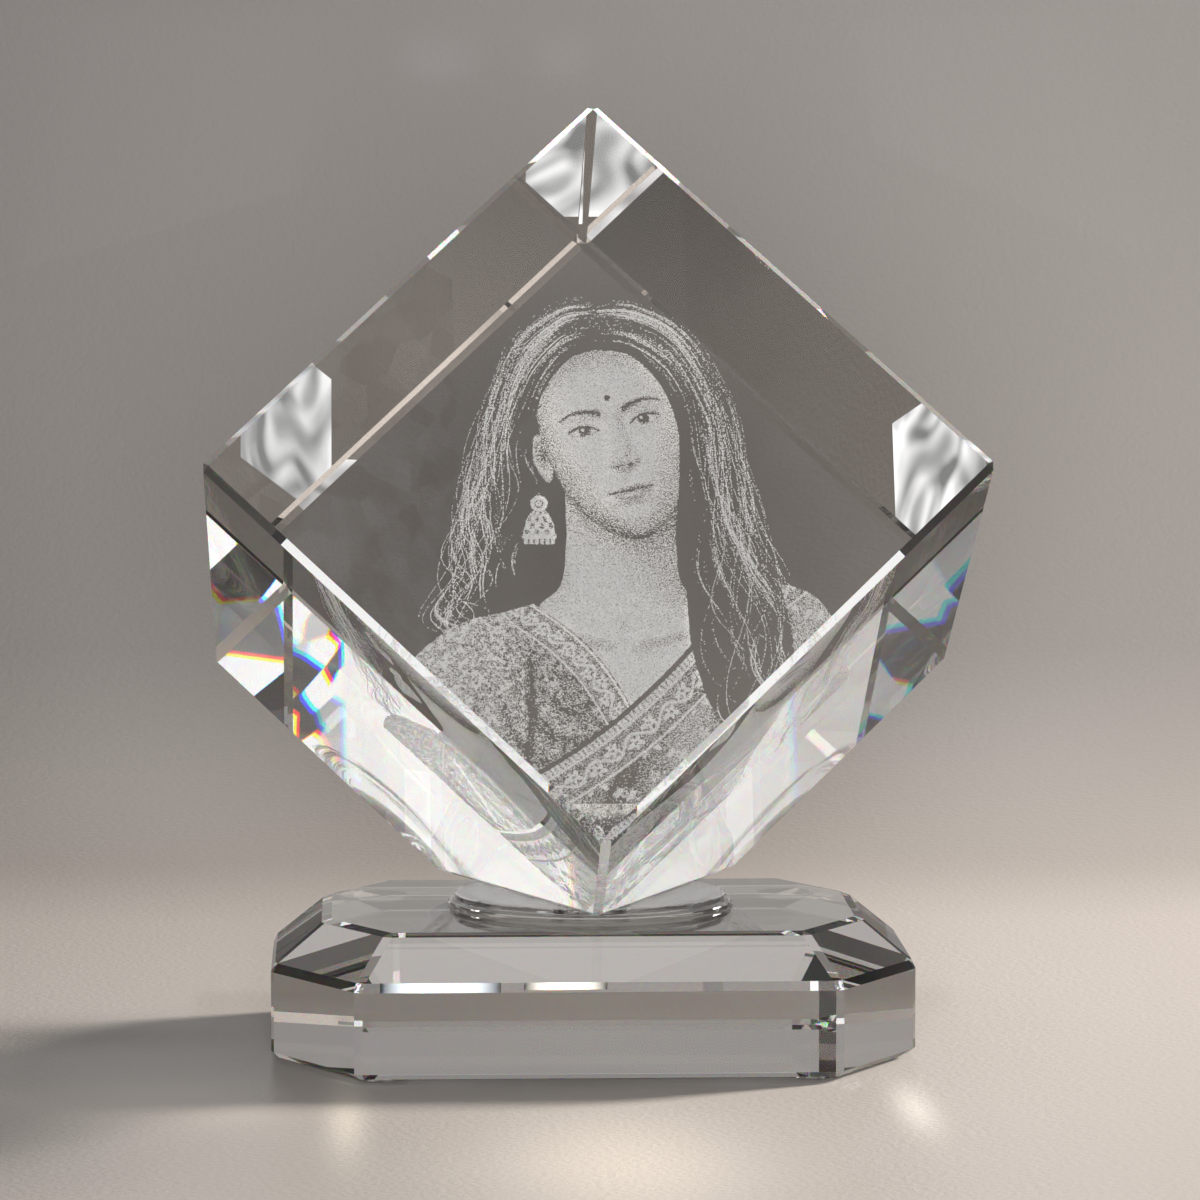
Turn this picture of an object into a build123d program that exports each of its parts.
from build123d import *
import os
from math import atan2, cos, degrees, hypot, radians, sin, sqrt

# A clear crystal photo cube that stands on a cut-off corner and turns on a bevelled clear base.
# Millimetres and degrees. The origin is on the table, on the turning axis. +Z is up, and the
# picture face looks towards -Y.

# Crystal cube
cube_side = 80.0
cube_lean = 25.5                # how far the picture face leans back from upright
cube_chamfer = 1.0
corner_cut_height = 20.0        # from the sharp corner that is cut off, up to the seat

# Base block
base_width = 94.0
base_depth = 74.0
base_wall_height = 13.3
base_bevel_rise = 6.6
base_bevel_inset = 8.0
base_corner_width = 12.5        # how much each cut corner takes off the front and back walls
base_corner_depth = 21.0        # how much each cut corner takes off the side walls
base_chamfer = 0.8

# Bumper feet
foot_radius = 4.0
foot_thickness = 0.8
foot_margin = 2.5               # from the edge of a foot to the nearest walls
foot_chamfer = 0.25

# Swivel between base and cube
lower_plate_radius = 21.0
lower_plate_thickness = 0.8
upper_plate_radius = 20.0
upper_plate_thickness = 1.0
plate_chamfer = 0.15
slip_washer_radius = 18.0
slip_washer_thickness = 0.2
bond_thickness = 0.1
bond_margin = 0.4               # the adhesive stops this far inside the edges that it joins

# Pivot pin and its cap
pin_radius = 1.5
pin_head_radius = 4.0
pin_head_thickness = 0.4
pin_cap_radius = 3.5
pin_cap_thickness = 0.3
running_clearance = 0.05        # round the pin in the plate that turns
axial_play = 0.05               # between the cap and the plate under it
cap_side_clearance = 0.4        # round the cap in its pocket
cap_top_clearance = 0.1         # from the top of the cap to the top of the plate

# Engraved bust inside the crystal, on a plane parallel to the picture face
picture_depth = 40.0            # from the picture face to the middle of the engraving
picture_thickness = 1.5
picture_margin = 3.0            # least clear glass between the engraving and the other faces
head_height = 36.0              # the unit of the bust's proportions
head_tilt = 13.0                # the crown leans to the left
head_across = 3.5               # middle of the head, right of the cube's centre
head_up = 14.0                  # middle of the head, above the cube's centre

# Heights on the turning axis
base_bottom = foot_thickness
bevel_bottom = base_bottom + base_wall_height
base_top = bevel_bottom + base_bevel_rise
lower_plate_bottom = base_top + bond_thickness
lower_plate_top = lower_plate_bottom + lower_plate_thickness
upper_plate_bottom = lower_plate_top + slip_washer_thickness
upper_plate_top = upper_plate_bottom + upper_plate_thickness
seat_height = upper_plate_top + bond_thickness

# The cap's pocket in the upper plate, counted down from the plate's top
pin_top = upper_plate_top - cap_top_clearance
cap_bottom = pin_top - pin_cap_thickness
pocket_floor = cap_bottom - axial_play
pocket_radius = pin_cap_radius + cap_side_clearance

# The cube's centre is on the turning axis, so that it turns in balance
half_diagonal = cube_side / sqrt(2)
lean_sin = sin(radians(cube_lean))
lean_cos = cos(radians(cube_lean))
centre_above_corner = half_diagonal * lean_cos + cube_side / 2 * lean_sin
cube_centre = (0, 0, seat_height - corner_cut_height + centre_above_corner)
face_normal = (0, -lean_cos, lean_sin)
cube_plane = Plane(origin=cube_centre, x_dir=(1, 0, 0), z_dir=face_normal)
picture_plane = cube_plane.offset(cube_side / 2 - picture_depth)


def disc(radius, bottom, top):
    """A plain round plate on the turning axis."""
    return Pos(0, 0, bottom) * extrude(Circle(radius), top - bottom)


def square_on_corner(side):
    """A square standing on one corner."""
    return Rot(0, 0, 45) * Rectangle(side, side)


def crystal_cube():
    """The cube, with its lowest corner cut off level and every edge chamfered."""
    cube = cube_plane * Rot(0, 0, 45) * Box(cube_side, cube_side, cube_side)
    cube = split(cube, bisect_by=Plane.XY.offset(seat_height), keep=Keep.TOP)
    return chamfer(cube.edges(), cube_chamfer)


def base_plan():
    """The base seen from above: a rectangle with its four corners cut off."""
    x_side = base_width / 2
    y_side = base_depth / 2
    x_cut = x_side - base_corner_width
    y_cut = y_side - base_corner_depth
    front_right = [(x_cut, -y_side), (x_side, -y_cut)]
    right = front_right + [(x, -y) for x, y in reversed(front_right)]
    left = [(-x, y) for x, y in reversed(right)]
    return make_face(Polyline(right + left, close=True))


def base_block():
    """The base: upright walls, a bevelled top, and every edge chamfered."""
    bevel_angle = degrees(atan2(base_bevel_inset, base_bevel_rise))
    walls = Pos(0, 0, base_bottom) * extrude(base_plan(), base_wall_height)
    bevels = Pos(0, 0, bevel_bottom) * extrude(base_plan(), base_bevel_rise, taper=bevel_angle)
    block = walls + bevels
    return chamfer(block.edges(), base_chamfer)


def foot_centre():
    """Where the right-hand back foot stands, clear of the back wall and of the cut corner."""
    reach = foot_radius + foot_margin
    y = base_depth / 2 - reach
    slope = hypot(base_corner_width, base_corner_depth)
    across = base_corner_depth / slope
    along = base_corner_width / slope
    x = base_width / 2 - base_corner_width + ((base_depth / 2 - y) * along - reach) / across
    return x, y


def foot(x_sign, y_sign):
    """One bumper pad under the base, with a chamfered rim on the table."""
    x, y = foot_centre()
    pad = extrude(Circle(foot_radius), foot_thickness)
    rim = pad.edges().group_by(Axis.Z)[0]
    return Pos(x_sign * x, y_sign * y, 0) * chamfer(rim, foot_chamfer)


def swivel_plate(radius, bottom, top):
    """A round clear plate with both rims chamfered."""
    plate = disc(radius, bottom, top)
    return chamfer(plate.edges(), plate_chamfer)


def lower_plate():
    """The fixed plate, with a pocket below for the pin's head."""
    plate = swivel_plate(lower_plate_radius, lower_plate_bottom, lower_plate_top)
    head_pocket = disc(pin_head_radius, lower_plate_bottom, lower_plate_bottom + pin_head_thickness)
    return plate - head_pocket - disc(pin_radius, lower_plate_bottom, lower_plate_top)


def upper_plate():
    """The turning plate, with a bore for the pin and a pocket above for its cap."""
    plate = swivel_plate(upper_plate_radius, upper_plate_bottom, upper_plate_top)
    bore = disc(pin_radius + running_clearance, upper_plate_bottom, upper_plate_top)
    return plate - bore - disc(pocket_radius, pocket_floor, upper_plate_top)


def slip_washer():
    """The thin slip film that the turning plate slides on."""
    washer = disc(slip_washer_radius, lower_plate_top, upper_plate_bottom)
    return washer - disc(pin_radius + running_clearance, lower_plate_top, upper_plate_bottom)


def pivot_pin():
    """The headed pin on the turning axis."""
    head = disc(pin_head_radius, lower_plate_bottom, lower_plate_bottom + pin_head_thickness)
    return head + disc(pin_radius, lower_plate_bottom, pin_top)


def pin_cap():
    """The ring on top of the pin that keeps the turning plate down."""
    return disc(pin_cap_radius, cap_bottom, pin_top) - disc(pin_radius, cap_bottom, pin_top)


def base_bond():
    """The adhesive film between the base and the fixed plate."""
    return disc(lower_plate_radius - plate_chamfer - bond_margin, base_top, lower_plate_bottom)


def cube_bond(cube):
    """The adhesive film between the turning plate and the cube's seat."""
    seat = cube.faces().sort_by(Axis.Z)[0]
    under_seat = extrude(offset(seat, -bond_margin), bond_thickness, dir=(0, 0, -1))
    ring = disc(upper_plate_radius - plate_chamfer - bond_margin, upper_plate_top, seat_height)
    return (ring & under_seat) - disc(pocket_radius, upper_plate_top, seat_height)


def in_heads(points):
    """Points of the bust, turned from head heights into millimetres about the head's middle."""
    return [(head_across + x * head_height, head_up + y * head_height) for x, y in points]


def closed_curve(points):
    """A face inside one smooth closed curve through points given in head heights."""
    return make_face(Spline(*in_heads(points), periodic=True))


def head_outline():
    """A plain oval head, leaning, on its neck."""
    oval_width = 0.31
    oval_height = 0.43
    oval = Rot(0, 0, head_tilt) * Ellipse(oval_width * head_height, oval_height * head_height)
    neck = [
        (-0.20, -0.25), (0.22, -0.25), (0.24, -0.55), (0.38, -0.80),
        (0.02, -1.02), (-0.34, -0.80), (-0.20, -0.60),
    ]
    return Pos(head_across, head_up) * oval + closed_curve(neck)


def hair_outline():
    """The long loose hair, from the crown down over both shoulders."""
    crown_and_right = [(-0.08, 0.60), (0.26, 0.52), (0.48, 0.18), (0.55, -0.30), (0.66, -0.66), (0.56, -0.98)]
    under_the_chin = [(0.38, -0.80), (0.30, -0.30), (-0.30, -0.30), (-0.46, -0.82)]
    left = [(-0.70, -0.88), (-0.66, -0.40), (-0.54, 0.05), (-0.42, 0.42)]
    return closed_curve(crown_and_right + under_the_chin + left)


def body_outline():
    """The shoulders and chest, down past the cube's lower corner."""
    left = [(-0.30, -0.76), (-0.78, -0.90), (-1.05, -1.30), (-0.60, -2.00)]
    right = [(0.60, -2.00), (1.10, -1.10), (0.85, -0.68), (0.34, -0.72)]
    throat = [(0.02, -0.95)]
    return closed_curve(left + right + throat)


def drape_side():
    """Everything below the slanting upper hem of the cloth that is drawn across the chest."""
    hem = [(1.40, 0.00), (0.42, -0.66), (-0.02, -1.16), (-0.60, -1.60), (-0.60, -2.60), (1.40, -2.60)]
    return make_face(Polyline(*in_heads(hem), close=True))


def earring_outline():
    """A bell-shaped drop below the ear: a stud, a bell and its rim."""
    x, y = -0.315, -0.42
    half_rim = 0.065
    bell_rise = 0.12
    stud_radius = 0.035
    corners = [(x - half_rim, y), (x + half_rim, y), (x, y + bell_rise)]
    bell = make_face(Polyline(*in_heads(corners), close=True))
    stud_place = in_heads([(x, y + bell_rise)])[0]
    return bell + Pos(*stud_place) * Circle(stud_radius * head_height)


def engraved_regions():
    """The bust's regions, none overlapping, each a thin relief inside the crystal."""
    clear_of_faces = square_on_corner(cube_side - 2 * picture_margin)
    earring = earring_outline()
    head = head_outline() - earring
    hair = hair_outline() - head - earring
    drape = (body_outline() & drape_side()) - head - hair
    blouse = body_outline() - drape_side() - head - hair
    outlines = {"head": head, "hair": hair, "blouse": blouse, "drape": drape, "earring": earring}
    regions = {}
    for name, outline in outlines.items():
        main_face = (outline & clear_of_faces).faces().sort_by(SortBy.AREA)[-1]
        relief = extrude(main_face, picture_thickness / 2, both=True)
        regions["engraved_" + name] = picture_plane * relief
    return regions


def all_pieces():
    """Every node of the part, by name."""
    cube = crystal_cube()
    pieces = {
        "base_block": base_block(),
        "base_bond": base_bond(),
        "lower_plate": lower_plate(),
        "pivot_pin": pivot_pin(),
        "pin_cap": pin_cap(),
        "slip_washer": slip_washer(),
        "upper_plate": upper_plate(),
        "cube_bond": cube_bond(cube),
        "crystal_cube": cube,
    }
    for y_name, y_sign in (("front", -1), ("back", 1)):
        for x_name, x_sign in (("left", -1), ("right", 1)):
            pieces["foot_" + y_name + "_" + x_name] = foot(x_sign, y_sign)
    pieces.update(engraved_regions())
    return pieces


os.makedirs("parts", exist_ok=True)
for node, shape in all_pieces().items():
    export_step(shape, "parts/" + node + ".step")
